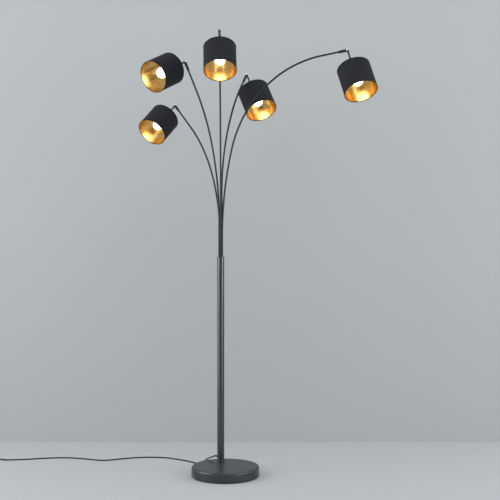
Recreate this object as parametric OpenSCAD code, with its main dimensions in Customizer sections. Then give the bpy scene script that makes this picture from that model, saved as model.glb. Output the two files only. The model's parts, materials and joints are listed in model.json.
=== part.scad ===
// Floor lamp with five curved arms in a fan, each with a hinged, turning drum shade.
// Lengths are in millimetres, angles in degrees. The floor is z = 0 and the origin is the base's centre.
// Azimuths are measured from +X (right) towards +Y (back). Arms are numbered round the fan, front arm first.

/* [Base] */
// Outer diameter of the base cover
base_d = 300; // [270:5:340]
// Height of the base, floor to top face
base_h = 45; // [40:1:60]
// Radius of the cover's rounded shoulder
shoulder_r = 8; // [4:1:12]
// Sheet thickness of the cover
cover_t = 1.5; // [1:0.1:2.5]
// Height of the free band below the cover's wall
band_h = 9; // [6:0.5:12]
// How far the band stands back from the cover's wall
band_inset = 3; // [2:0.5:8]
// Thickness of the felt pad on the floor
pad_t = 2; // [1:0.5:4]
// Sheet thickness of the base plate
plate_t = 3; // [2:0.5:5]
// How far left of the base's centre the pole stands
pole_left = 23; // [0:1:60]
// How far behind the base's centre the pole stands
pole_back = 72; // [0:1:90]

/* [Pole] */
// Outer diameter of the pole
pole_d = 32; // [30:0.5:40]
// Wall of the pole's two tubes
pole_t = 1.2; // [1:0.1:2]
// Length of the lower tube
lower_l = 588; // [400:1:700]
// Height of the ring that shows between the two tubes
seam_h = 1; // [0.5:0.1:3]
// Length of the upper tube
upper_l = 311; // [220:1:420]
// Outer diameter of the collar
collar_d = 33; // [32:0.5:42]
// Height of the collar above the upper tube
collar_h = 25; // [15:1:40]
// Chamfer round the collar's top
collar_chamfer = 1.5; // [0.5:0.1:3]
// Length of each plug that fits inside a tube
spigot_l = 30; // [20:1:50]
// Diameter of the foot's threaded stud
stud_d = 10; // [8:1:12]
// Height of the cord's outlet above the base
outlet_up = 23; // [22:1:60]

/* [Arms] */
// Outer diameter of an arm tube
arm_d = 8; // [6:0.5:8]
// Wall of an arm tube
arm_t = 1; // [0.5:0.1:1.5]
// Gap between neighbouring tubes in the bundle
bundle_gap = 0.4; // [0.3:0.1:1]
// How far the arms reach down below the collar's top
arm_drop = 120; // [80:1:180]
// Depth of the sockets in which the arms stand
seat_depth = 18; // [10:1:30]
// Azimuth in which each arm curves
arm_azimuth = [-90, -28, 38, 128, 196]; // [-180:1:360]
// Straight height above the collar, before each first bend
arm_rise = [165, 94, 290, 84, 153]; // [20:1:400]
// Radius of each first bend
bend1_r = [2200, 1560, 1190, 760, 1830]; // [200:10:4000]
// Angle of each first bend
bend1_a = [11, 14.5, 18, 11.5, 11.5]; // [1:0.5:60]
// Radius of each second bend
bend2_r = [1560, 500, 730, 670, 1240]; // [200:10:4000]
// Angle of each second bend
bend2_a = [13, 70, 11.5, 37, 11]; // [1:0.5:90]
// Straight length from each second bend to the hinge pin
arm_tail = [60, 120, 52, 184, 133]; // [45:1:250]

/* [Hinges] */
// How far each knuckle is turned about its arm's end
swivel = [2, -18.5, -57.5, 63.5, 31]; // [-180:0.5:180]
// How far each stem is folded back from its arm's direction
tilt = [127, 72, 138, 126, 96.5]; // [0:0.5:148]
// Distance from the pin back to the bottom of the fork
fork_l = 20; // [18:0.5:30]
// Length of the ferrule below the fork
ferrule_l = 20; // [14:1:30]
// Outer diameter of the ferrule
ferrule_d = 12; // [11:0.5:14]
// Outer diameter of the fork
fork_d = 12.8; // [12:0.2:15]
// Width of the fork's two ears
ear_w = 9; // [8:0.5:10]
// Distance over the outer faces of the ears
ears_over = 10.4; // [9.6:0.2:11.4]
// Diameter of the hinge pin
pin_d = 4; // [3:0.5:5]
// Diameter of the screw's head and of the cap nut's flange
screw_head_d = 9.4; // [8:0.2:11]
// Height of the screw's head
screw_head_h = 4; // [2:0.5:6]

/* [Stems and lampholders] */
// Thickness of the stem's flat eye
eye_t = 5; // [4:0.5:6]
// Outer diameter of the stem tube
stem_d = 7.5; // [6:0.5:8]
// Wall of the stem tube
stem_t = 1.2; // [0.8:0.1:1.6]
// Distance from the pin to the start of the round stem
tongue_l = 17; // [17:0.5:24]
// Distance from the pin to the shade's top edge
stem_l = 95; // [80:1:130]
// Diameter of the lampholder's barrel
holder_d = 26.4; // [24:0.2:30]
// Length of the lampholder below the shade's top edge
holder_l = 41; // [36:1:50]
// Diameter of the bulb's glass ball
bulb_d = 45; // [40:1:60]
// Distance from the shade's top edge to the ball's centre
bulb_drop = 67.5; // [60:0.5:80]
// Diameter of the bulb's screw cap
cap_d = 14; // [13:0.5:15]

/* [Shades] */
// Outer diameter of a shade
shade_d = 140; // [110:2:200]
// Height of a shade
shade_h = 125; // [105:1:180]
// Thickness of the laminated fabric
shade_t = 1.2; // [0.8:0.1:2]
// Thickness of the rolled hems
hem_d = 2.4; // [1.8:0.1:4]
// Diameter of the fitter's wire
wire_d = 2.4; // [1.6:0.1:3]
// How far the fitter's middle ring lies below the shade's top edge
fitter_drop = 13; // [10:0.5:18]
// Number of spokes in a fitter
spokes = 3; // [3:1:6]

/* [Cord] */
// Diameter of the mains cord
cord_d = 6; // [5:0.5:7]
// Turns of the coil's upper layer
turns_up = 1; // [1:1:2]
// Turns of the coil's lower layer
turns_down = 1.5; // [1.5:1:2.5]
// Radius at which the coil begins
coil_r = 39; // [36:1:48]
// Clearance between neighbouring turns
coil_gap = 0.8; // [0.6:0.1:2]
// Length of the foot switch
switch_l = 84; // [70:1:100]
// Width of the foot switch
switch_w = 36; // [32:1:50]
// Height of the foot switch
switch_h = 20; // [18:1:28]
// Diameter of the foot switch's button
button_d = 22; // [16:1:26]
// How far the button stands above the switch
button_up = 4; // [3:0.5:8]
// How far the button goes down
button_travel = 2.5; // [1:0.5:3]
// Width of the plug's face
plug_w = 35.4; // [30:0.2:40]
// Thickness of the plug
plug_h = 13.8; // [12:0.2:16]
// Length of the plug's body
plug_l = 37; // [30:1:45]
// Diameter of the plug's pins
prong_d = 4; // [3.8:0.1:5]
// Length of the plug's pins
prong_l = 19; // [15:1:20]
// Distance between the plug's pins
prong_pitch = 18.6; // [17:0.2:19.4]

/* [Hidden] */
$fn = 96;
arms = 5;
fit = 0.05;          // radial clearance of what turns in a bore
slip = 0.1;          // radial clearance of what is pushed in by hand
play = 0.2;          // side clearance between flat faces that slide
lap = 0.5;           // how far each length of an arm runs into the next bend
hair = 0.1;          // what a bend is wider and thicker than the length it takes in

// Levels of the base, from the floor up
weight_z = band_h + 1;
cover_in = base_h - cover_t;
weight_d = base_d - 2 * cover_t - 4;
plate_d = base_d - 2 * band_inset;
pad_d = plate_d - 6;
nut_w = 1.7 * stud_d;
nut_h = 0.8 * stud_d;
pocket_d = nut_w + 9;
pocket_h = nut_h + 4;

// Levels of the pole
pole_at = [-pole_left, pole_back, 0];
pole_bore = pole_d - 2 * pole_t;
seam_z = base_h + lower_l;
upper_z = seam_z + seam_h;
collar_z = upper_z + upper_l;
top_z = collar_z + collar_h;
outlet_z = base_h + outlet_up;

// The bundle: tube centres on a regular pentagon, the first one in front
ring_r = (arm_d + bundle_gap) / 2 / sin(180 / arms);
function ring_azimuth(i) = -90 + 360 / arms * i;
arm_foot_z = top_z - arm_drop;
seat_floor = 8;

// Where an arm's end lies, from the foot of its straight part
function lean(i) = bend1_a[i] + bend2_a[i];
function reach(i) = bend1_r[i] * (1 - cos(bend1_a[i])) + bend2_r[i] * (cos(bend1_a[i]) - cos(lean(i)))
                    + arm_tail[i] * sin(lean(i));
function climb(i) = bend1_r[i] * sin(bend1_a[i]) + bend2_r[i] * (sin(lean(i)) - sin(bend1_a[i]))
                    + arm_tail[i] * cos(lean(i));

// The hinge
ear_gap = eye_t + 2 * play;
ferrule_floor = fork_l + 4;
arm_stop = ferrule_floor + 0.3;

// The shade and what is in it, measured from its top edge along its axis
shade_r = shade_d / 2;
hem_r = shade_r - hem_d / 4;
wire_r = shade_r - shade_t - play - wire_d / 2;
wire_drop = hem_d + play + wire_d / 2 + 0.6;
fitter_t = 1.5;
flange_d = holder_d + 4.6;
fitter_d = flange_d + 4;
holder_up = 7;

// The cord's outlet: a bushing in the pole's wall, facing the rear left
outlet_azimuth = 135;
outlet_dir = [cos(outlet_azimuth), sin(outlet_azimuth), 0];
bushing_d = 10;
bushing_out = 10;
outlet_at = pole_at + [0, 0, outlet_z] + (pole_d / 2 + bushing_out) * outlet_dir;

// The foot switch lies along X, with a sleeve at each end
switch_at = [-1166, 300, 0];
sleeve_l = 14;
sleeve_z = 10;
well_depth = 12;     // depth of the well in which the button slides
switch_in = switch_at + [switch_l / 2 + sleeve_l, 0, sleeve_z];
switch_out = switch_at + [-switch_l / 2 - sleeve_l, 0, sleeve_z];

// The coil winds in above, comes down a layer where it reverses, and winds out on the floor
floor_z = cord_d / 2 + 0.05;
coil_at = [-1225, 205, 0];
coil_pitch = cord_d + coil_gap;
layer_h = cord_d + 0.6;
turn_a = 360 * turns_up;
coil_a = turn_a + 180 + 360 * turns_down;
function coil_radius(a) = a <= turn_a + 90 ? coil_r - coil_pitch * a / 360
                        : coil_r - coil_pitch * (2 * (turn_a + 90) - a) / 360;
function coil_height(a) = floor_z + layer_h * (1 - smooth((a - turn_a) / 180));
function smooth(t) = t <= 0 ? 0 : t >= 1 ? 1 : t * t * (3 - 2 * t);
function coil_point(a) = coil_at + [coil_radius(a) * cos(180 + a), coil_radius(a) * sin(180 + a), coil_height(a)];
coil_in = coil_point(0) + [0, cord_d, 0];
coil_out = coil_point(coil_a) - [0, cord_d, 0];
coil_points = concat([coil_in], [for (a = [0:15:coil_a]) coil_point(a)], [coil_out]);

// The plug lies flat on the floor in front of the coil
plug_at = [coil_out[0], coil_out[1] - 46, plug_h / 2];
plug_sleeve_l = 16;

// The cord's own route over the floor
run_points = concat([outlet_at, outlet_at + 9 * outlet_dir], [
    [-64, 113, 58.5], [-79, 129, 50.5], [-95, 149, 37], [-111, 175, 20], [-128, 205, 7], [-150, 238, floor_z],
    [-185, 276, floor_z], [-234, 312, floor_z], [-296, 347, floor_z], [-378, 358, floor_z], [-435, 350, floor_z],
    [-485, 333, floor_z], [-553, 300, floor_z], [-597, 292, floor_z], [-661, 315, floor_z], [-730, 340, floor_z],
    [-800, 347, floor_z], [-870, 337, floor_z], [-940, 318, floor_z], [-1010, 304, floor_z],
    [-1050, 300, 3.8], [-1078, 300, 7.5]], [switch_in + [9, 0, 0], switch_in]);
lead_points = [switch_out, switch_out - [9, 0, 0], [-1248, 296, sleeve_z], [-1260, 284, 9.8],
    [coil_in[0], 266, 9.7], [coil_in[0], 244, coil_in[2]], coil_in + [0, 9, 0], coil_in];
tail_points = [coil_out, coil_out - [0, 9, 0], (coil_out + plug_at) / 2, plug_at + [0, 9, 0], plug_at];

black = "#2c3238";
graphite = "#3a4148";
rubber_black = "#1b1d20";
nickel = "#c9ccd0";

// Places: the foot of an arm, a point along a bend, an arm's hinge and a shade's axis

module at_foot(i) {
    translate(pole_at + ring_r * [cos(ring_azimuth(i)), sin(ring_azimuth(i)), 0] + [0, 0, arm_foot_z])
        rotate([0, 0, arm_azimuth[i]]) children();
}

module at_bend_end(r, a) {
    translate([r * (1 - cos(a)), 0, r * sin(a)]) rotate([0, a, 0]) children();
}

module at_hinge(i) {
    at_foot(i) translate([reach(i), 0, arm_drop + arm_rise[i] + climb(i)])
        rotate([0, lean(i), 0]) rotate([0, 0, swivel[i]]) children();
}

module at_stem(i) {
    at_hinge(i) rotate([0, tilt[i], 0]) children();
}

module at_shade(i) {
    at_stem(i) translate([0, 0, stem_l]) children();
}

// Shapes that several pieces share

module pipe(d, t, l) {
    difference() {
        cylinder(d = d, h = l);
        translate([0, 0, -1]) cylinder(d = d - 2 * t, h = l + 2);
    }
}

module bent_pipe(d, t, r, a) {
    rotate([90, 0, 180]) translate([-r, 0, 0]) rotate_extrude(angle = a, $fn = 360) translate([r, 0])
        difference() {
            circle(d = d, $fn = 48);
            circle(d = d - 2 * t, $fn = 48);
        }
}

module shouldered(r, h, round_r) {
    square([r - round_r, h]);
    square([r, h - round_r]);
    translate([r - round_r, h - round_r]) circle(r = round_r);
}

module rounded_plan(l, w, r) {
    square([l - 2 * r, w], center = true);
    square([l, w - 2 * r], center = true);
    for (x = [-1, 1], y = [-1, 1]) translate([x * (l / 2 - r), y * (w / 2 - r)]) circle(r = r);
}

module arm_holes(d, h) {
    for (i = [0:arms - 1]) rotate([0, 0, ring_azimuth(i)]) translate([ring_r, 0, 0]) cylinder(d = d, h = h);
}

module sleeve(l, d_thick) {
    cylinder(d1 = d_thick, d2 = cord_d + 2.4, h = l);
}

// Base

module base_cover() {
    color(graphite) difference() {
        rotate_extrude() difference() {
            translate([0, band_h]) shouldered(base_d / 2, base_h - band_h, shoulder_r);
            translate([0, band_h - 1])
                shouldered(base_d / 2 - cover_t, cover_in - band_h + 1, shoulder_r - cover_t);
        }
        translate(pole_at) cylinder(d = stud_d + 2 * slip, h = base_h + 1);
    }
}

module base_weight() {
    color("#8a8a86") difference() {
        rotate_extrude() polygon([[0, weight_z], [weight_d / 2, weight_z], [weight_d / 2, cover_in - shoulder_r],
            [weight_d / 2 - shoulder_r, cover_in], [0, cover_in]]);
        translate(pole_at) cylinder(d = stud_d + 2 * slip, h = base_h);
        translate(pole_at) cylinder(d = pocket_d, h = weight_z + pocket_h);
    }
}

module base_plate() {
    color(rubber_black) rotate_extrude() {
        translate([0, pad_t]) square([plate_d / 2, plate_t]);
        for (r = [plate_d / 2, plate_d / 3, plate_d / 6]) translate([r - 4, pad_t]) square([4, weight_z - pad_t]);
    }
}

module base_pad() {
    color("#202225") cylinder(d = pad_d, h = pad_t);
}

// Pole

module pole_foot() {
    color(nickel) translate(pole_at) {
        translate([0, 0, base_h]) cylinder(d = pole_bore - 2 * slip, h = outlet_up - bushing_d / 2 - 2);
        translate([0, 0, weight_z + pocket_h - nut_h - 3])
            cylinder(d = stud_d, h = base_h - weight_z - pocket_h + nut_h + 4);
    }
}

module foot_nut() {
    color(nickel) translate(pole_at + [0, 0, weight_z + pocket_h - nut_h]) difference() {
        union() {
            cylinder(d = nut_w / cos(30), h = nut_h, $fn = 6);
            translate([0, 0, nut_h - 1.5]) cylinder(d = nut_w + 5, h = 1.5);
        }
        translate([0, 0, -1]) cylinder(d = stud_d + 2 * fit, h = nut_h + 2);
    }
}

module lower_pole() {
    color(graphite) difference() {
        translate(pole_at + [0, 0, base_h]) pipe(pole_d, pole_t, lower_l);
        translate(pole_at + [0, 0, outlet_z]) rotate([0, 90, outlet_azimuth]) cylinder(d = bushing_d, h = pole_d);
    }
}

module pole_joiner() {
    color(rubber_black) translate(pole_at + [0, 0, seam_z]) difference() {
        union() {
            translate([0, 0, -spigot_l]) cylinder(d = pole_bore - 2 * slip, h = 2 * spigot_l + seam_h);
            cylinder(d = pole_d - 0.8, h = seam_h);
        }
        translate([0, 0, -spigot_l - 1]) cylinder(d = pole_bore - 7, h = 2 * spigot_l + seam_h + 2);
    }
}

module upper_pole() {
    color(graphite) translate(pole_at + [0, 0, upper_z]) pipe(pole_d, pole_t, upper_l);
}

module collar() {
    color(graphite) translate(pole_at + [0, 0, collar_z]) difference() {
        rotate_extrude() polygon([[0, -spigot_l], [pole_bore / 2 - slip, -spigot_l], [pole_bore / 2 - slip, 0],
            [collar_d / 2, 0], [collar_d / 2, collar_h - collar_chamfer],
            [collar_d / 2 - collar_chamfer, collar_h], [0, collar_h]]);
        translate([0, 0, -spigot_l - 1]) {
            arm_holes(arm_d + 2 * fit, spigot_l + collar_h + 2);
            cylinder(r = ring_r - 0.8, h = spigot_l + collar_h + 2);
        }
    }
}

module arm_seat() {
    color(nickel) translate(pole_at + [0, 0, arm_foot_z]) difference() {
        translate([0, 0, -seat_floor]) cylinder(d = pole_bore - 2 * slip, h = seat_floor + seat_depth);
        arm_holes(arm_d + 2 * fit, seat_depth + 1);
        cylinder(r = ring_r - 0.8, h = seat_depth + 1);
        translate([0, 0, -seat_floor - 1]) arm_holes(arm_d - 2 * arm_t - 1, seat_floor + 2);
    }
}

// Arms and hinges

module arm(i) {
    straight = arm_drop + arm_rise[i];
    color(black) at_foot(i) {
        pipe(arm_d, arm_t, straight + lap);
        translate([0, 0, straight]) {
            bent_pipe(arm_d + hair, arm_t + hair, bend1_r[i], bend1_a[i] + lap / bend1_r[i] * 180 / PI);
            at_bend_end(bend1_r[i], bend1_a[i]) {
                bent_pipe(arm_d + 2 * hair, arm_t + 2 * hair, bend2_r[i], bend2_a[i]);
                at_bend_end(bend2_r[i], bend2_a[i]) translate([0, 0, -lap])
                    pipe(arm_d, arm_t, arm_tail[i] - arm_stop + lap);
            }
        }
    }
}

module knuckle(i) {
    color(black) at_hinge(i) difference() {
        union() {
            translate([0, 0, -fork_l - ferrule_l]) {
                cylinder(d1 = ferrule_d - 2, d2 = ferrule_d, h = 1);
                translate([0, 0, 1]) cylinder(d = ferrule_d, h = ferrule_l - 1);
            }
            intersection() {
                translate([0, 0, -fork_l - 2]) cylinder(d = fork_d, h = fork_l + 2 + ear_w);
                translate([0, ears_over / 2, 0]) rotate([90, 0, 0]) linear_extrude(ears_over) {
                    circle(d = ear_w);
                    translate([-ear_w / 2, -fork_l]) square([ear_w, fork_l]);
                    translate([-fork_d / 2, -fork_l - 2]) square([fork_d, 3]);
                }
            }
        }
        translate([-fork_d, -ear_gap / 2, -fork_l]) cube([2 * fork_d, ear_gap, fork_l + ear_w]);
        translate([0, 0, -fork_l - ferrule_l - 1]) cylinder(d = arm_d + 2 * fit, h = ferrule_l - 3);
        translate([0, 0, -ferrule_floor - 1]) cylinder(d = arm_d - 2 * arm_t - 1, h = 6);
        rotate([90, 0, 0]) cylinder(d = pin_d + 2 * fit, h = 2 * ears_over, center = true);
    }
}

module hinge_screw(i) {
    face = ears_over / 2;
    color(nickel) at_hinge(i) {
        rotate([90, 0, 0]) cylinder(d = pin_d, h = 2 * face + 2, center = true);
        translate([0, face, 0]) rotate([-90, 0, 0]) rotate_extrude()
            shouldered(screw_head_d / 2, screw_head_h, screw_head_h / 2);
        translate([0, -face, 0]) rotate([90, 0, 0]) {
            cylinder(d = screw_head_d, h = 1);
            cylinder(d = screw_head_d - 1, h = screw_head_h - 1, $fn = 6);
            rotate_extrude() shouldered(screw_head_d / 2 - 1.2, screw_head_h + 1, screw_head_d / 2 - 3);
        }
    }
}

module stem(i) {
    color(black) at_stem(i) difference() {
        union() {
            rotate([90, 0, 0]) cylinder(d = ear_w + 0.6, h = eye_t, center = true);
            translate([-stem_d / 2, -eye_t / 2, 0]) cube([stem_d, eye_t, tongue_l + 1]);
            translate([0, 0, tongue_l]) cylinder(d = stem_d, h = stem_l - holder_up + 6 - tongue_l);
        }
        rotate([90, 0, 0]) cylinder(d = pin_d + 2 * fit, h = 2 * eye_t, center = true);
        translate([0, 0, tongue_l + 3]) cylinder(d = stem_d - 2 * stem_t, h = stem_l);
    }
}

// Lampholder, fitter, shade and bulb

module holder(i) {
    barrel = holder_d / 2;
    color(rubber_black) at_shade(i) difference() {
        rotate_extrude() {
            polygon([[0, -holder_up], [6.5, -holder_up], [8, -holder_up + 0.8], [barrel - 1, 0], [barrel, 2],
                [barrel, fitter_drop - 2], [flange_d / 2, fitter_drop - 2], [flange_d / 2, fitter_drop],
                [barrel, fitter_drop], [barrel, fitter_drop + fitter_t], [flange_d / 2, fitter_drop + fitter_t],
                [flange_d / 2, fitter_drop + fitter_t + 5], [barrel, fitter_drop + fitter_t + 6],
                [barrel, holder_l - 1], [barrel - 1, holder_l], [0, holder_l]]);
        }
        translate([0, 0, -holder_up - 1]) cylinder(d = stem_d + 2 * fit, h = 7);
        translate([0, 0, holder_l - 28]) cylinder(d = cap_d + 0.6, h = 30);
    }
}

module fitter(i) {
    inner = flange_d / 2 + 1;
    drop = fitter_drop + fitter_t / 2;
    slope = atan2(wire_r - inner, wire_drop - drop);
    color(nickel) at_shade(i) {
        translate([0, 0, fitter_drop]) difference() {
            cylinder(d = fitter_d, h = fitter_t);
            translate([0, 0, -1]) cylinder(d = holder_d + 2 * slip, h = fitter_t + 2);
        }
        translate([0, 0, wire_drop]) rotate_extrude() translate([wire_r, 0]) circle(d = wire_d);
        for (k = [0:spokes - 1]) rotate([0, 0, 360 / spokes * k]) translate([inner, 0, drop])
            rotate([0, slope, 0]) cylinder(d = wire_d, h = norm([wire_r - inner, wire_drop - drop]));
    }
}

module shade(i) {
    color("#15171b") at_shade(i) rotate_extrude() {
        translate([shade_r - shade_t, hem_d / 2]) square([shade_t, shade_h - hem_d]);
        for (z = [hem_d / 2, shade_h - hem_d / 2]) translate([hem_r, z]) circle(d = hem_d);
    }
}

module bulb(i) {
    cap_z = holder_l - 25;
    ball = bulb_d / 2;
    color("#fff4dc") at_shade(i) rotate_extrude() {
        polygon([[0, cap_z - 2], [3, cap_z - 2], [cap_d / 2 - 1.5, cap_z], [cap_d / 2, cap_z + 1.5],
            [cap_d / 2, holder_l + 0.3], [cap_d / 2 + 2, holder_l + 0.3], [cap_d / 2 + 3.5, holder_l + 3],
            [ball * cos(48), bulb_drop - ball * sin(48)], [0, bulb_drop]]);
        intersection() {
            translate([0, bulb_drop]) circle(r = ball);
            translate([0, bulb_drop - ball * sin(48)]) square(2 * bulb_d);
        }
    }
}

// Cord: bushing, free stretches, foot switch, coil and plug

module cord_bushing() {
    reach = pole_d / 2;
    color(rubber_black) translate(pole_at + [0, 0, outlet_z]) rotate([0, 0, outlet_azimuth]) {
        difference() {
            rotate([0, 90, 0]) {
                cylinder(d = bushing_d + 3, h = reach + 2);
                translate([0, 0, reach + 2]) sleeve(bushing_out - 2, bushing_d + 1);
            }
            translate([0, 0, -bushing_d]) cylinder(d = pole_d, h = 2 * bushing_d);
        }
        translate([reach - pole_t - 2, 0, 0]) rotate([0, 90, 0]) cylinder(d = bushing_d - 2 * slip, h = pole_t + 2.5);
    }
}

// A tube through points: its rings stand square to the route
module tube(points, sides) {
    n = len(points);
    function along(i) = let (d = points[min(i + 1, n - 1)] - points[max(i - 1, 0)]) d / norm(d);
    function ring(i) = let (t = along(i), s = cross([0, 0, 1], t), u = s / norm(s), v = cross(t, u))
        [for (k = [0:sides - 1]) points[i] + cord_d / 2 * (cos(360 / sides * (k + 0.5)) * u
                                                           + sin(360 / sides * (k + 0.5)) * v)];
    polyhedron(
        points = [for (i = [0:n - 1]) each ring(i)],
        faces = concat(
            [[for (k = [0:sides - 1]) k]],
            [for (i = [0:n - 2], k = [0:sides - 1]) let (a = i * sides + k, b = i * sides + (k + 1) % sides)
                each [[a, a + sides, b + sides], [a, b + sides, b]]],
            [[for (k = [sides - 1:-1:0]) (n - 1) * sides + k]]));
}

// Points spaced along a smooth curve through the given ones
function spread(p, step) = let (n = len(p)) concat(
    [for (i = [0:n - 2]) let (
        a = p[max(i - 1, 0)], b = p[i], c = p[i + 1], d = p[min(i + 2, n - 1)],
        parts = max(1, round(norm(c - b) / step)))
        for (k = [0:parts - 1]) let (t = k / parts)
            0.5 * (2 * b + (c - a) * t + (2 * a - 5 * b + 4 * c - d) * t * t + (3 * b - a - 3 * c + d) * t * t * t)],
    [p[n - 1]]);

ring_step = 3 * cord_d;

module cord_run() {
    color(rubber_black) tube(spread(run_points, ring_step), 8);
}

module cord_lead() {
    color(rubber_black) tube(spread(lead_points, ring_step), 8);
}

module cord_tail() {
    color(rubber_black) tube(spread(tail_points, ring_step), 8);
}

module cord_coil() {
    color(rubber_black) tube(coil_points, 6);
}

// The least gap between turns, from points half a turn or more apart
coil_clear = min([for (i = [0:len(coil_points) - 1], j = [i + 12:1:len(coil_points) - 1])
    norm(coil_points[i] - coil_points[j])]) - cord_d;
echo(least_gap_in_coil = coil_clear);

module switch_body() {
    color(rubber_black) translate(switch_at) {
        difference() {
            intersection() {
                linear_extrude(switch_h) rounded_plan(switch_l, switch_w, 12);
                translate([0, switch_w, 0]) rotate([90, 0, 0]) linear_extrude(2 * switch_w) {
                    translate([-switch_l / 2, 0]) square([switch_l, switch_h - 6]);
                    translate([-switch_l / 2 + 6, 0]) square([switch_l - 12, switch_h]);
                    for (x = [-1, 1]) translate([x * (switch_l / 2 - 6), switch_h - 6]) circle(r = 6);
                }
            }
            translate([0, 0, switch_h - well_depth]) cylinder(d = button_d + 2 * slip, h = well_depth + 1);
        }
        for (x = [-1, 1]) translate([x * (switch_l / 2 - 1), 0, sleeve_z]) rotate([0, 90 * x, 0])
            sleeve(sleeve_l + 1, 13);
    }
}

module switch_button() {
    room = button_travel + 0.5;
    color("#34373b") translate(switch_at + [0, 0, switch_h - well_depth + room]) rotate_extrude()
        shouldered(button_d / 2, well_depth - room + button_up, 1.5);
}

module plug_body() {
    half = plug_w / 2;
    back = plug_sleeve_l;
    color(rubber_black) translate(plug_at) rotate([0, 0, -90]) {
        rotate([0, 90, 0]) cylinder(d1 = cord_d + 2.4, d2 = 11, h = back + 1);
        intersection() {
            translate([0, 0, -plug_h / 2]) linear_extrude(plug_h) polygon([[back, -6.5], [back + 9, -9],
                [back + 20, -half + 0.8], [back + 23, -half], [back + plug_l, -half], [back + plug_l, half],
                [back + 23, half], [back + 20, half - 0.8], [back + 9, 9], [back, 6.5]]);
            rotate([90, 0, 90]) linear_extrude(2 * back + plug_l) rounded_plan(plug_w, plug_h, 4);
        }
    }
}

module plug_pins() {
    color(nickel) translate(plug_at) rotate([0, 0, -90]) for (y = [-1, 1])
        translate([plug_sleeve_l + plug_l, y * prong_pitch / 2, 0]) rotate([0, 90, 0]) rotate_extrude()
            shouldered(prong_d / 2, prong_l, 1);
}

base_cover();
base_weight();
base_plate();
base_pad();
pole_foot();
foot_nut();
lower_pole();
pole_joiner();
upper_pole();
collar();
arm_seat();
cord_bushing();
cord_run();
switch_body();
switch_button();
cord_lead();
cord_coil();
cord_tail();
plug_body();
plug_pins();
for (i = [0:arms - 1]) {
    arm(i);
    knuckle(i);
    hinge_screw(i);
    stem(i);
    holder(i);
    fitter(i);
    shade(i);
    bulb(i);
}
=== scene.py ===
"""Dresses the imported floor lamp: cloth and foil shades, lit bulbs, cord, painted metal and a plain studio."""

import json
import logging
import math
from dataclasses import dataclass, field
from enum import Enum

import bmesh
import bpy
from mathutils import Matrix, Vector


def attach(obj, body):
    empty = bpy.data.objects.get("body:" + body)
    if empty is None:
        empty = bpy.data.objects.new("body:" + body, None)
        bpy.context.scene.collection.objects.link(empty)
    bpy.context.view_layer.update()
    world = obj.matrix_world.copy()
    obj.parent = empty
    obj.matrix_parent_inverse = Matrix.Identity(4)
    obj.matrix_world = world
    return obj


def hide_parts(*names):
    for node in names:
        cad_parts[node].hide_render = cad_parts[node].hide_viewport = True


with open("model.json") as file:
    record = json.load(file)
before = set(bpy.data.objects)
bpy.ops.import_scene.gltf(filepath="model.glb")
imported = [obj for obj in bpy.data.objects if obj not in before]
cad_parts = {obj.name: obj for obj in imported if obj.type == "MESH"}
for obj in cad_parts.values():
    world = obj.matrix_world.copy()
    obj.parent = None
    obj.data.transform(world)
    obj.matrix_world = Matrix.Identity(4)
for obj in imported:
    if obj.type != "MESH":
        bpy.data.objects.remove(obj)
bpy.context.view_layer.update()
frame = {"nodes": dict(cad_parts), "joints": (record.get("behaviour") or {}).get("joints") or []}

logging.basicConfig(level=logging.INFO, format="%(message)s")
log = logging.getLogger("floor_lamp")

MM = 0.001
# A face whose normal leans this far up or down counts as level in a UV map.
LEVEL = 0.7
# Each head's tilt at rest in degrees, from its arm's direction, as in the part's source.
HEAD_TILTS = (127.0, 72.0, 138.0, 126.0, 96.5)

Colour = tuple[float, float, float]
Point = tuple[float, float, float]
Outline = tuple[tuple[float, float], ...]
Profile = list[tuple[float, float]]
Points = list[Vector]


class Slot(Enum):
    """The record's material slots for new pieces; nothing in this script uses them."""

    CLOTH = "shade_fabric"
    GLASS = "bulb_glass"
    NICKEL = "screw_metal"
    CORD = "cord_rubber"


# Node recipes


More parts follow.
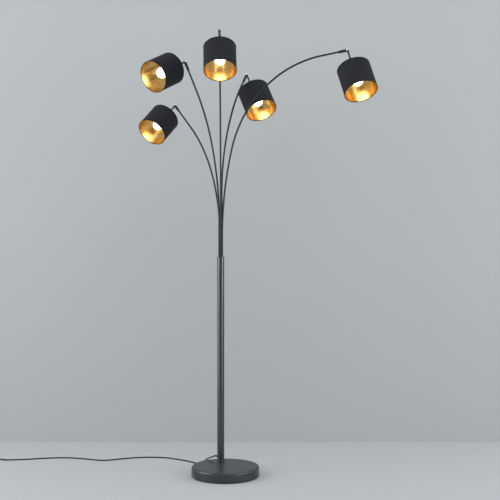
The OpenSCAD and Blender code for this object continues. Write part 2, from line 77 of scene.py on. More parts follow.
class Recipe:
    """A material's node tree while it is being put together."""

    def __init__(self, name: str) -> None:
        """Starts an empty material.

        Args:
            name: The material's name.
        """
        self.material = bpy.data.materials.new(name)
        self.material.use_nodes = True
        self.tree = self.material.node_tree
        self.tree.nodes.clear()
        self.shader = self.add("ShaderNodeBsdfPrincipled")
        self.output = self.add("ShaderNodeOutputMaterial")
        self.join(self.shader, "BSDF", self.output, "Surface")
        self.place = self.add("ShaderNodeTexCoord")

    def add(self, kind: str, **settings: object) -> bpy.types.Node:
        """Adds a node.

        Args:
            kind: Blender's name for the node type.
            **settings: Properties of the node to set.

        Returns:
            The new node.
        """
        node = self.tree.nodes.new(kind)
        for key, value in settings.items():
            setattr(node, key, value)
        return node

    def join(self, a: bpy.types.Node, out: str | int, b: bpy.types.Node, into: str | int) -> None:
        """Links one node's output to another's input."""
        self.tree.links.new(a.outputs[out], b.inputs[into])

    def stretched(self, scale: Point = (1.0, 1.0, 1.0), coordinates: str = "Object") -> bpy.types.Node:
        """Coordinates in metres, stretched for a pattern.

        Args:
            scale: How much each direction is multiplied.
            coordinates: "Object" or "UV".

        Returns:
            A Mapping node.
        """
        node = self.add("ShaderNodeMapping")
        node.inputs["Scale"].default_value = scale
        self.join(self.place, coordinates, node, "Vector")
        return node

    def noise(self, per_metre: float, detail: float = 3.0, rough: float = 0.5,
              over: bpy.types.Node | None = None) -> bpy.types.Node:
        """Cloudy noise.

        Args:
            per_metre: How many clouds a metre holds.
            detail: Octaves of finer noise.
            rough: How strong the finer noise is.
            over: A Mapping node to read, or Object coordinates if left out.

        Returns:
            A Noise Texture node.
        """
        node = self.add("ShaderNodeTexNoise")
        node.inputs["Scale"].default_value = per_metre
        node.inputs["Detail"].default_value = detail
        node.inputs["Roughness"].default_value = rough
        over = over or self.stretched()
        self.join(over, "Vector", node, "Vector")
        return node

    def ramp(self, source: bpy.types.Node, out: str | int, low: float, high: float, start: float = 0.3,
             end: float = 0.7) -> bpy.types.Node:
        """Maps a value to another range.

        Args:
            source: The node that gives the value.
            out: Its output.
            low: Result at start.
            high: Result at end.
            start: Value that gives low.
            end: Value that gives high.

        Returns:
            A Map Range node, which clamps.
        """
        node = self.add("ShaderNodeMapRange")
        for socket, value in (("From Min", start), ("From Max", end), ("To Min", low), ("To Max", high)):
            node.inputs[socket].default_value = value
        self.join(source, out, node, "Value")
        return node

    def blend(self, share: bpy.types.Node, out: str | int, first: Colour, second: Colour) -> bpy.types.Node:
        """Mixes two colours by a value.

        Args:
            share: The node whose output is the second colour's share.
            out: That output.
            first: Colour at 0.
            second: Colour at 1.

        Returns:
            A Mix node; its colour is output 2.
        """
        node = self.add("ShaderNodeMix", data_type="RGBA")
        node.inputs[6].default_value = (*first, 1.0)
        node.inputs[7].default_value = (*second, 1.0)
        self.join(share, out, node, 0)
        return node

    def sums(self, operation: str, *terms: float | tuple[bpy.types.Node, str | int]) -> bpy.types.Node:
        """A Math node.

        Args:
            operation: Blender's name for the sum.
            *terms: Numbers, or (node, output) pairs.

        Returns:
            The Math node.
        """
        node = self.add("ShaderNodeMath", operation=operation)
        for i, term in enumerate(terms):
            if isinstance(term, (int, float)):
                node.inputs[i].default_value = term
            else:
                self.join(term[0], term[1], node, i)
        return node

    def relief(self, height: bpy.types.Node, out: str | int, depth_mm: float, strength: float = 1.0,
               under: bpy.types.Node | None = None) -> bpy.types.Node:
        """A Bump node into the shader's normal.

        Args:
            height: The node that gives the height.
            out: Its output.
            depth_mm: Height of a full step, in millimetres.
            strength: Share of the effect.
            under: Another Bump node that this one adds to.

        Returns:
            The Bump node.
        """
        node = self.add("ShaderNodeBump")
        node.inputs["Strength"].default_value = strength
        node.inputs["Distance"].default_value = depth_mm * MM
        self.join(height, out, node, "Height")
        if under is not None:
            self.join(under, "Normal", node, "Normal")
        self.join(node, "Normal", self.shader, "Normal")
        return node

    def fixed(self, **values: object) -> None:
        """Sets the shader's own sockets, named with _ for a space."""
        for key, value in values.items():
            self.shader.inputs[key.replace("_", " ")].default_value = value


# Finishes of the lamp and of the studio


@dataclass(frozen=True)
class PowderCoat:
    """Satin paint on metal: orange peel, faint clouding and paler rubbed places."""

    name: str
    colour: Colour
    rubbed: Colour
    rough: float = 0.36
    metallic: float = 0.35
    peel_per_metre: float = 900.0
    peel_mm: float = 0.012
    cloud_per_metre: float = 14.0
    rub_per_metre: float = 46.0
    rub_low: float = 0.66
    rub_fade: float = 0.2
    dark_share: float = 0.9

    def make(self) -> bpy.types.Material:
        """Makes the paint.

        Returns:
            Its material.
        """
        r = Recipe(self.name)
        cloud = r.noise(self.cloud_per_metre, detail=4.0, rough=0.6)
        patches = r.noise(self.rub_per_metre, detail=8.0, rough=0.72)
        rub = r.ramp(patches, "Fac", 0.0, 1.0, self.rub_low, self.rub_low + self.rub_fade)
        deep = tuple(c * self.dark_share for c in self.colour)
        tone = r.blend(r.ramp(cloud, "Fac", 0.0, 1.0), 0, deep, self.colour)
        mix = r.add("ShaderNodeMix", data_type="RGBA")
        r.join(rub, 0, mix, 0)
        r.join(tone, 2, mix, 6)
        mix.inputs[7].default_value = (*self.rubbed, 1.0)
        r.join(mix, 2, r.shader, "Base Color")
        r.join(r.ramp(cloud, "Fac", self.rough - 0.02, self.rough + 0.025), 0, r.shader, "Roughness")
        r.fixed(Metallic=self.metallic, Specular_IOR_Level=0.5)
        r.relief(r.noise(self.peel_per_metre, detail=2.0, rough=0.4), "Fac", self.peel_mm)
        return r.material


@dataclass(frozen=True)
class PlatedMetal:
    """Plated or bare metal with fine lines from polishing and dull patches."""

    name: str
    colour: Colour
    rough: float = 0.14
    lines: Point = (2400.0, 2400.0, 90.0)
    line_mm: float = 0.004
    patch_per_metre: float = 120.0
    dull_share: float = 0.8

    def make(self) -> bpy.types.Material:
        """Makes the metal.

        Returns:
            Its material.
        """
        r = Recipe(self.name)
        patch = r.noise(self.patch_per_metre, detail=5.0, rough=0.6)
        dull = tuple(c * self.dull_share for c in self.colour)
        r.join(r.blend(r.ramp(patch, "Fac", 0.0, 1.0), 0, dull, self.colour), 2, r.shader, "Base Color")
        r.join(r.ramp(patch, "Fac", self.rough + 0.1, self.rough), 0, r.shader, "Roughness")
        r.fixed(Metallic=1.0)
        r.relief(r.noise(1.0, detail=2.0, rough=0.5, over=r.stretched(self.lines)), "Fac", self.line_mm)
        return r.material


@dataclass(frozen=True)
class MouldedPlastic:
    """Moulded plastic or rubber with a spark-eroded grain, and a parting line at one height if asked."""

    name: str
    colour: Colour
    rough: float = 0.5
    grain_per_metre: float = 2600.0
    grain_mm: float = 0.02
    shine: float = 0.5
    cloud_per_metre: float = 60.0
    parting_z: float | None = None
    parting_mm: float = 0.25

    def make(self) -> bpy.types.Material:
        """Makes the plastic.

        Returns:
            Its material.
        """
        r = Recipe(self.name)
        cloud = r.noise(self.cloud_per_metre, detail=4.0, rough=0.6)
        pale = tuple(min(1.0, c * 1.35 + 0.004) for c in self.colour)
        r.join(r.blend(r.ramp(cloud, "Fac", 0.0, 1.0), 0, self.colour, pale), 2, r.shader, "Base Color")
        r.join(r.ramp(cloud, "Fac", self.rough - 0.06, self.rough + 0.08), 0, r.shader, "Roughness")
        r.fixed(Specular_IOR_Level=self.shine)
        grain = r.relief(r.noise(self.grain_per_metre, detail=2.0, rough=0.6), "Fac", self.grain_mm)
        if self.parting_z is not None:
            split = r.add("ShaderNodeSeparateXYZ")
            r.join(r.place, "Object", split, "Vector")
            away = r.sums("ABSOLUTE", (r.sums("SUBTRACT", (split, "Z"), self.parting_z), 0))
            r.relief(r.ramp(away, 0, 0.0, 1.0, 0.1 * MM, 0.4 * MM), 0, self.parting_mm, 1.0, grain)
        return r.material


@dataclass(frozen=True)
class WovenCloth:
    """Plain-woven cloth glued to a stiff backing, with painted shade in the hollows between its threads. Its
    pattern follows the piece's UV map, in metres.
    """

    name: str
    thread: Colour
    # Painted shade: the colour in the hollows between the threads, where the weave's height is low.
    shade_between_threads: Colour
    pitch_mm: float = 0.62
    depth_mm: float = 0.09
    slub_long: float = 90.0
    slub_fine: float = 1500.0
    hidden: float = 0.35
    slub_share: float = 1.2
    relief_share: float = 0.8

    def make(self) -> bpy.types.Material:
        """Makes the cloth.

        Returns:
            Its material.
        """
        r = Recipe(self.name)
        split = r.add("ShaderNodeSeparateXYZ")
        r.join(r.place, "UV", split, "Vector")
        turn = math.pi / (self.pitch_mm * MM)
        across = r.sums("SINE", (r.sums("MULTIPLY", (split, "X"), turn), 0))
        along = r.sums("SINE", (r.sums("MULTIPLY", (split, "Y"), turn), 0))
        over = r.sums("MULTIPLY", (across, 0), (along, 0))
        warp = r.sums("MULTIPLY", (r.sums("ABSOLUTE", (across, 0)), 0),
                      (r.ramp(over, 0, self.hidden, 1.0, -1.0, 1.0), 0))
        weft = r.sums("MULTIPLY", (r.sums("ABSOLUTE", (along, 0)), 0),
                      (r.ramp(over, 0, 1.0, self.hidden, -1.0, 1.0), 0))
        height = r.sums("MAXIMUM", (warp, 0), (weft, 0))
        slub = r.noise(1.0, rough=0.6, over=r.stretched((self.slub_long, self.slub_fine, 1.0), "UV"))
        knot = r.noise(1.0, rough=0.6, over=r.stretched((self.slub_fine, self.slub_long, 1.0), "UV"))
        uneven = r.sums("MULTIPLY", (slub, "Fac"), (knot, "Fac"))
        # Low weave height darkens the colour towards the painted shade between threads; the slubs vary it at
        # random.
        tone = r.sums("MULTIPLY", (height, 0), (r.ramp(uneven, 0, 0.45, 1.0, 0.12, 0.4), 0))
        r.join(r.blend(tone, 0, self.shade_between_threads, self.thread), 2, r.shader, "Base Color")
        r.join(r.ramp(uneven, 0, 0.62, 0.78, 0.12, 0.4), 0, r.shader, "Roughness")
        r.fixed(Sheen_Weight=0.02, Sheen_Roughness=0.45, Sheen_Tint=(0.80, 0.86, 1.0, 1.0),
                Specular_IOR_Level=0.16)
        bulge = r.sums("ADD", (height, 0), (r.sums("MULTIPLY", (uneven, 0), self.slub_share), 0))
        r.relief(bulge, 0, self.depth_mm, self.relief_share)
        return r.material


@dataclass(frozen=True)
class GoldFoil:
    """Metallised film inside a shade: faint upright streaks, mottling and the weave under it."""

    name: str
    bright: Colour
    deep: Colour
    rough: float = 0.19
    streaks: Point = (420.0, 16.0, 1.0)
    weave: Point = (1600.0, 1600.0, 1.0)
    mottle_per_metre: float = 38.0
    weave_mm: float = 0.012
    streak_mm: float = 0.03

    def make(self) -> bpy.types.Material:
        """Makes the foil.

        Returns:
            Its material.
        """
        r = Recipe(self.name)
        streak = r.noise(1.0, rough=0.6, over=r.stretched(self.streaks, "UV"))
        mottle = r.noise(self.mottle_per_metre, detail=4.0, rough=0.6)
        share = r.sums("MULTIPLY", (streak, "Fac"), (mottle, "Fac"))
        tone = r.blend(r.ramp(share, 0, 0.0, 1.0, 0.12, 0.4), 0, self.deep, self.bright)
        r.join(tone, 2, r.shader, "Base Color")
        r.join(r.ramp(share, 0, self.rough + 0.1, self.rough, 0.12, 0.4), 0, r.shader, "Roughness")
        r.fixed(Metallic=1.0)
        threads = r.noise(1.0, detail=2.0, over=r.stretched(self.weave, "UV"))
        fine = r.relief(threads, "Fac", self.weave_mm)
        r.relief(streak, "Fac", self.streak_mm, 0.5, fine)
        return r.material


@dataclass(frozen=True)
class OpalGlass:
    """Frosted glass of a lit bulb: brightest where it faces out, warmer towards its outline and its neck."""

    name: str
    hot: Colour
    warm: Colour
    strength: float
    frost_per_metre: float = 900.0
    frost_mm: float = 0.01
    rim_blend: float = 0.35

    def make(self) -> bpy.types.Material:
        """Makes the lit glass.

        Returns:
            Its material.
        """
        r = Recipe(self.name)
        rim = r.add("ShaderNodeLayerWeight")
        rim.inputs["Blend"].default_value = self.rim_blend
        frost = r.noise(self.frost_per_metre, detail=2.0, rough=0.5)
        share = r.sums("MULTIPLY", (rim, "Facing"), (r.ramp(frost, "Fac", 0.8, 1.0), 0))
        glow = r.blend(share, 0, self.hot, self.warm)
        r.join(glow, 2, r.shader, "Emission Color")
        milky = r.blend(r.ramp(frost, "Fac", 0.0, 1.0), 0, (0.92, 0.90, 0.86), (1.0, 0.98, 0.95))
        r.join(milky, 2, r.shader, "Base Color")
        r.fixed(Emission_Strength=self.strength, Roughness=0.45)
        r.relief(frost, "Fac", self.frost_mm)
        return r.material


@dataclass(frozen=True)
class CastStone:
    """Rough cast filler of the base weight."""

    name: str
    colour: Colour
    grit_per_metre: float = 260.0
    grit_mm: float = 0.3
    pits_per_metre: float = 170.0
    pits_mm: float = 0.4

    def make(self) -> bpy.types.Material:
        """Makes the casting.

        Returns:
            Its material.
        """
        r = Recipe(self.name)
        grit = r.noise(self.grit_per_metre, detail=8.0, rough=0.7)
        pits = r.add("ShaderNodeTexVoronoi")
        pits.inputs["Scale"].default_value = self.pits_per_metre
        r.join(r.stretched(), "Vector", pits, "Vector")
        dark = tuple(c * 0.55 for c in self.colour)
        r.join(r.blend(r.ramp(grit, "Fac", 0.0, 1.0), 0, dark, self.colour), 2, r.shader, "Base Color")
        r.fixed(Roughness=0.92)
        r.relief(pits, "Distance", self.pits_mm, 0.7, r.relief(grit, "Fac", self.grit_mm))
        return r.material


@dataclass(frozen=True)
class Felt:
    """Pressed felt of loose fibres."""

    name: str
    colour: Colour
    tufts_per_metre: float = 700.0
    tuft_mm: float = 0.35
    lay: Point = (1.0, 0.35, 1.0)

    def make(self) -> bpy.types.Material:
        """Makes the felt.

        Returns:
            Its material.
        """
        r = Recipe(self.name)
        tuft = r.noise(self.tufts_per_metre, detail=6.0, rough=0.75, over=r.stretched(self.lay))
        pale = tuple(c * 2.0 + 0.01 for c in self.colour)
        r.join(r.blend(r.ramp(tuft, "Fac", 0.0, 1.0), 0, self.colour, pale), 2, r.shader, "Base Color")
        r.fixed(Roughness=0.95, Sheen_Weight=0.3, Sheen_Roughness=0.6)
        r.relief(tuft, "Fac", self.tuft_mm)
        return r.material


@dataclass(frozen=True)
class Stage:
    """Plain matt paint of the floor and the backdrop, see-through from behind if asked."""

    name: str
    colour: Colour
    one_sided: bool = False

    def make(self) -> bpy.types.Material:
        """Makes the stage paint.

        Returns:
            Its material.
        """
        r = Recipe(self.name)
        r.fixed(Base_Color=(*self.colour, 1.0), Roughness=0.8, Specular_IOR_Level=0.1)
        if self.one_sided:
            side, ray = r.add("ShaderNodeNewGeometry"), r.add("ShaderNodeLightPath")
            clear, mix = r.add("ShaderNodeBsdfTransparent"), r.add("ShaderNodeMixShader")
            r.join(r.sums("MULTIPLY", (side, "Backfacing"), (ray, "Is Camera Ray")), 0, mix, 0)
            r.join(r.shader, "BSDF", mix, 1)
            r.join(clear, "BSDF", mix, 2)
            r.join(mix, "Shader", r.output, "Surface")
        return r.material


class Finish(Enum):
    """Every finish of the lamp."""

    BASE = PowderCoat("satin_base_paint", (0.060, 0.068, 0.078), (0.09, 0.10, 0.11),
                      rough=0.32, metallic=0.6, rub_low=0.74)
    POLE = PowderCoat("satin_pole_paint", (0.086, 0.096, 0.109), (0.125, 0.135, 0.148),
                      rough=0.25, metallic=0.92, rub_low=0.74)
    ARM = PowderCoat("satin_arm_paint", (0.028, 0.033, 0.038), (0.07, 0.075, 0.08),
                     rough=0.32, metallic=0.6, peel_per_metre=1500.0, peel_mm=0.008)
    NICKEL = PlatedMetal("polished_nickel", (0.80, 0.81, 0.82))
    ZINC = PlatedMetal("zinc_plate", (0.62, 0.62, 0.63), rough=0.28, line_mm=0.01)
    WIRE = PlatedMetal("fitter_wire", (0.56, 0.51, 0.42), rough=0.24)
    PIN = PlatedMetal("plug_pin_metal", (0.74, 0.72, 0.68), rough=0.2,
                      lines=(2400.0, 90.0, 2400.0))
    # Each cloth's second colour is painted shade in the hollows between its threads.
    CLOTH = WovenCloth("black_shade_cloth", (0.031, 0.034, 0.041), (0.002, 0.002, 0.003))
    HEM = WovenCloth("black_hem_tape", (0.008, 0.0085, 0.010), (0.0015, 0.0015, 0.002),
                     pitch_mm=0.5)
    FOIL = GoldFoil("gold_foil", (0.93, 0.61, 0.21), (0.68, 0.36, 0.07))
    GLASS = OpalGlass("lit_opal_glass", (1.0, 0.93, 0.80), (1.0, 0.80, 0.50), 7.6)
    SOCKET = MouldedPlastic("socket_plastic", (0.018, 0.018, 0.020), rough=0.46)
    JOINER = MouldedPlastic("joiner_plastic", (0.030, 0.032, 0.036))
    FOOT = MouldedPlastic("foot_plastic", (0.020, 0.021, 0.024), rough=0.6)
    SWITCH = MouldedPlastic("switch_plastic", (0.020, 0.020, 0.022), parting_z=0.0075)
    BUTTON = MouldedPlastic("button_plastic", (0.036, 0.037, 0.041), rough=0.42)
    PLUG = MouldedPlastic("plug_plastic", (0.020, 0.020, 0.022), parting_z=0.0069)
    SHEATH = MouldedPlastic("cord_sheath", (0.008, 0.008, 0.009), rough=0.48,
                            grain_per_metre=900.0, grain_mm=0.03, shine=0.25)
    STONE = CastStone("cast_weight", (0.42, 0.42, 0.40))
    FELT = Felt("pressed_felt", (0.030, 0.030, 0.034))


@dataclass
class Finishes:
    """The materials of the finishes, each made at its first use."""

    made: dict[Finish, bpy.types.Material] = field(default_factory=dict)

    def of(self, finish: Finish) -> bpy.types.Material:
        """Gives the material of a finish.

        Args:
            finish: The finish.

        Returns:
            Its material.
        """
        if finish not in self.made:
            self.made[finish] = finish.value.make()
        return self.made[finish]


# Shaping that several pieces share


def lathe(profile: Profile, steps: int, closed: bool) -> bmesh.types.BMesh:
    """Turns a profile round the Z axis.

    Args:
        profile: (radius, height) in millimetres.
        steps: Segments round the turn.
        closed: Whether the profile's last point joins its first.

    Returns:
        The turned bmesh, in metres, with faces outward.
    """
    bm = bmesh.new()
    rim = [bm.verts.new((r * MM, 0.0, z * MM)) for r, z in profile]
    edges = [bm.edges.new(pair) for pair in zip(rim, rim[1:])]
    if closed:
        edges.append(bm.edges.new((rim[-1], rim[0])))
    bmesh.ops.spin(bm, geom=[*rim, *edges], cent=(0, 0, 0), axis=(0, 0, 1), angle=2 * math.pi, steps=steps,
                   use_merge=True)
    bmesh.ops.remove_doubles(bm, verts=bm.verts, dist=1e-6)
    bmesh.ops.recalc_face_normals(bm, faces=bm.faces)
    return bm


def arc(centre: tuple[float, float], radius: float, start: float, end: float, count: int) -> Profile:
    """Returns points on an arc of a profile; its angles are degrees from outward towards up."""
    turn = [math.radians(start + (end - start) * k / (count - 1)) for k in range(count)]
    return [(centre[0] + radius * math.cos(t), centre[1] + radius * math.sin(t)) for t in turn]


def wrap(bm: bmesh.types.BMesh, radius_mm: float) -> None:
    """Gives a turned shape a UV map in metres: round the turn, and along the profile.

    Args:
        bm: The turned shape, still round the Z axis.
        radius_mm: Radius at which the distance round the turn is measured.
    """
    layer = bm.loops.layers.uv.new("UVMap")
    for face in bm.faces:
        mid = face.calc_center_median()
        home = math.atan2(mid.y, mid.x)
        out = Vector((mid.x, mid.y)).length
        for loop in face.loops:
            p = loop.vert.co
            turn = (math.atan2(p.y, p.x) - home + math.pi) % (2 * math.pi) - math.pi
            slope = Vector((p.x, p.y)).length - out
            level = abs(face.normal.z) > LEVEL
            loop[layer].uv = ((home + turn) * radius_mm * MM, p.z + (slope if level else 0.0))


def finished(bm: bmesh.types.BMesh, name: str, place: Matrix, material: bpy.types.Material,
             smooth_deg: float = 40.0) -> bpy.types.Object:
    """Makes an object at the origin of a shape put in its place.

    Args:
        bm: The shape, which is freed.
        name: The piece's name.
        place: Where it goes, applied to its mesh.
        material: Its material.
        smooth_deg: Faces that meet at less than this are shaded smooth.

    Returns:
        The new object.
    """
    bmesh.ops.transform(bm, matrix=place, verts=bm.verts)
    mesh = bpy.data.meshes.new(name)
    bm.to_mesh(mesh)
    bm.free()
    mesh.materials.append(material)
    mesh.shade_smooth()
    mesh.set_sharp_from_angle(angle=math.radians(smooth_deg))
    piece = bpy.data.objects.new(name, mesh)
    bpy.context.scene.collection.objects.link(piece)
    return piece


def dress(node: str, material: bpy.types.Material) -> bpy.types.Object:
    """Gives a CAD node its material.

    Args:
        node: The node's name.
        material: Its new material.

    Returns:
        The node's object.
    """
    piece = frame["nodes"][node]
    piece.data.materials.clear()
    piece.data.materials.append(material)
    return piece


def metres(points: list[Point]) -> Points:
    """Returns points given in millimetres as vectors in metres."""
    return [Vector(p) * MM for p in points]


def eased(route: Points, step: float) -> Points:
    """A smooth curve through the route's points, as the part's source draws it.

    Args:
        route: The points, in metres.
        step: Distance between the new points.

    Returns:
        The finer points.
    """
    fine: Points = []
    last = len(route) - 1
    for i in range(last):
        a, b, c, d = route[max(i - 1, 0)], route[i], route[i + 1], route[min(i + 2, last)]
        parts = max(1, round((c - b).length / step))
        for k in range(parts):
            t = k / parts
            fine.append(0.5 * (2 * b + (c - a) * t + (2 * a - 5 * b + 4 * c - d) * t ** 2
                               + (3 * b - a - 3 * c + d) * t ** 3))
    return [*fine, route[-1]]


def hose(name: str, route: Points, radii: list[float], material: bpy.types.Material) -> bpy.types.Object:
    """A round curve through points.

    Args:
        name: The piece's name.
        route: Its centreline, in metres.
        radii: Its radius at each point, in metres.
        material: Its material.

    Returns:
        The curve object.
    """
    data = bpy.data.curves.new(name, "CURVE")
    data.dimensions = "3D"
    data.bevel_depth, data.bevel_resolution, data.use_fill_caps = 1.0, 5, True
    spline = data.splines.new("POLY")
    spline.points.add(len(route) - 1)
    for point, at, radius in zip(spline.points, route, radii):
        point.co, point.radius = (*at, 1.0), radius
    spline.use_smooth = True
    data.materials.append(material)
    piece = bpy.data.objects.new(name, data)
    bpy.context.scene.collection.objects.link(piece)
    return piece


# The studio


@dataclass(frozen=True)
class Softbox:
    """A soft lamp, or a card that only gloss sees: its place, target, size in metres and power in watts."""

    name: str
    at: Point
    target: Point
    wide: float
    tall: float
    power: float
    card: bool = False


@dataclass
class Studio:
    """The level camera, the pale floor and wall, and soft light."""

    eye: Point = (0.1088, -4.128, 1.0)
    lens: float = 67.13
    film: float = 36.0
    sight: float = 60.0
    floor_half: tuple[float, float] = (14.0, 14.0)
    wall_half: tuple[float, float] = (3.4, 3.0)
    wall_y: float = 0.728
    floor: Stage = Stage("floor_paint", (0.50, 0.52, 0.53))
    wall: Stage = Stage("wall_paint", (0.46, 0.48, 0.49), one_sided=True)
    sky: float = 0.70
    sky_tint: Colour = (0.95, 0.98, 1.0)
    air: Colour = (0.46, 0.48, 0.49)
    boxes: tuple[Softbox, ...] = (
        Softbox("left_softbox", (-3.3, -1.1, 1.9), (0.0, 0.1, 1.2), 2.0, 2.0, 48.0),
        Softbox("right_softbox", (3.5, -0.9, 1.7), (0.0, 0.1, 1.2), 2.0, 2.0, 42.0),
        Softbox("top_softbox", (0.1, -1.4, 4.2), (0.0, 0.2, 0.8), 2.6, 2.6, 34.0),
        Softbox("left_card", (-2.3, -0.5, 1.27), (0.0, 0.0, 1.27), 2.3, 2.5, 38.0, card=True),
        Softbox("right_card", (2.2, -1.8, 1.27), (0.0, 0.0, 1.27), 1.0, 2.5, 26.0, card=True))

    def aimed(self, thing: bpy.types.Object, at: Point, target: Point) -> None:
        """Puts a lamp somewhere and turns it to a target.

        Args:
            thing: The object to place.
            at: Where it stands.
            target: What it faces.
        """
        thing.location = at
        thing.rotation_mode = "QUATERNION"
        thing.rotation_quaternion = (Vector(target) - Vector(at)).to_track_quat("-Z", "Y")
        bpy.context.scene.collection.objects.link(thing)

    def camera(self) -> None:
        """Makes the photograph's camera."""
        data = bpy.data.cameras.new("camera")
        data.lens, data.sensor_width, data.clip_end = self.lens, self.film, self.sight
        camera = bpy.data.objects.new("camera", data)
        camera.location, camera.rotation_euler = self.eye, (math.pi / 2, 0.0, 0.0)
        bpy.context.scene.collection.objects.link(camera)
        bpy.context.scene.camera = camera

    def sheet(self, name: str, paint: Stage, place: Matrix, half: tuple[float, float]) -> None:
        """A flat stage sheet.

        Args:
            name: The sheet's name.
            paint: Its paint.
            place: Where it lies.
            half: Half its width and length.
        """
        bm = bmesh.new()
        bmesh.ops.create_grid(bm, x_segments=2, y_segments=2, size=1.0)
        bmesh.ops.scale(bm, vec=(half[0], half[1], 1.0), verts=bm.verts)
        finished(bm, name, place, paint.make())

    def build(self) -> None:
        """Makes the floor, the wall, the lamps and the world, under the plain view transform."""
        self.sheet("studio_floor", self.floor, Matrix.Identity(4), self.floor_half)
        foot = Matrix.Translation((0.0, self.wall_y, self.wall_half[1]))
        self.sheet("studio_wall", self.wall, foot @ Matrix.Rotation(math.pi / 2, 4, "X"), self.wall_half)
        self.lamps()
        self.world()
        bpy.context.scene.view_settings.view_transform = "Standard"
        log.info("studio: floor, wall and %d lamps", len(self.boxes))

    def lamps(self) -> None:
        """Makes the soft lamps and the cards."""
        for box in self.boxes:
            data = bpy.data.lights.new(box.name, "AREA")
            data.shape, data.size, data.size_y = "RECTANGLE", box.wide, box.tall
            data.energy = box.power
            lamp = bpy.data.objects.new(box.name, data)
            lamp.visible_camera = False
            lamp.visible_diffuse = lamp.visible_volume_scatter = not box.card
            self.aimed(lamp, box.at, box.target)

    def world(self) -> None:
        """Makes the room's even light, and the plain colour that camera, gloss and glass see behind it."""
        world = bpy.data.worlds.new("studio_air")
        world.use_nodes = True
        tree = world.node_tree
        tree.nodes.clear()
        light, seen, ray, mix, out, direct, either = (tree.nodes.new(kind) for kind in (
            "ShaderNodeBackground", "ShaderNodeBackground", "ShaderNodeLightPath", "ShaderNodeMixShader",
            "ShaderNodeOutputWorld", "ShaderNodeMath", "ShaderNodeMath"))
        light.inputs["Color"].default_value = (*self.sky_tint, 1.0)
        light.inputs["Strength"].default_value = self.sky
        seen.inputs["Color"].default_value = (*self.air, 1.0)
        direct.operation = either.operation = "MAXIMUM"
        for a, b in ((ray.outputs["Is Camera Ray"], direct.inputs[0]),
                     (ray.outputs["Is Glossy Ray"], direct.inputs[1]),
                     (direct.outputs[0], either.inputs[0]),
                     (ray.outputs["Is Transmission Ray"], either.inputs[1]),
                     (either.outputs[0], mix.inputs[0]),
                     (light.outputs[0], mix.inputs[1]),
                     (seen.outputs[0], mix.inputs[2]),
                     (mix.outputs[0], out.inputs["Surface"])):
            tree.links.new(a, b)
        bpy.context.scene.world = world


# The mains cord


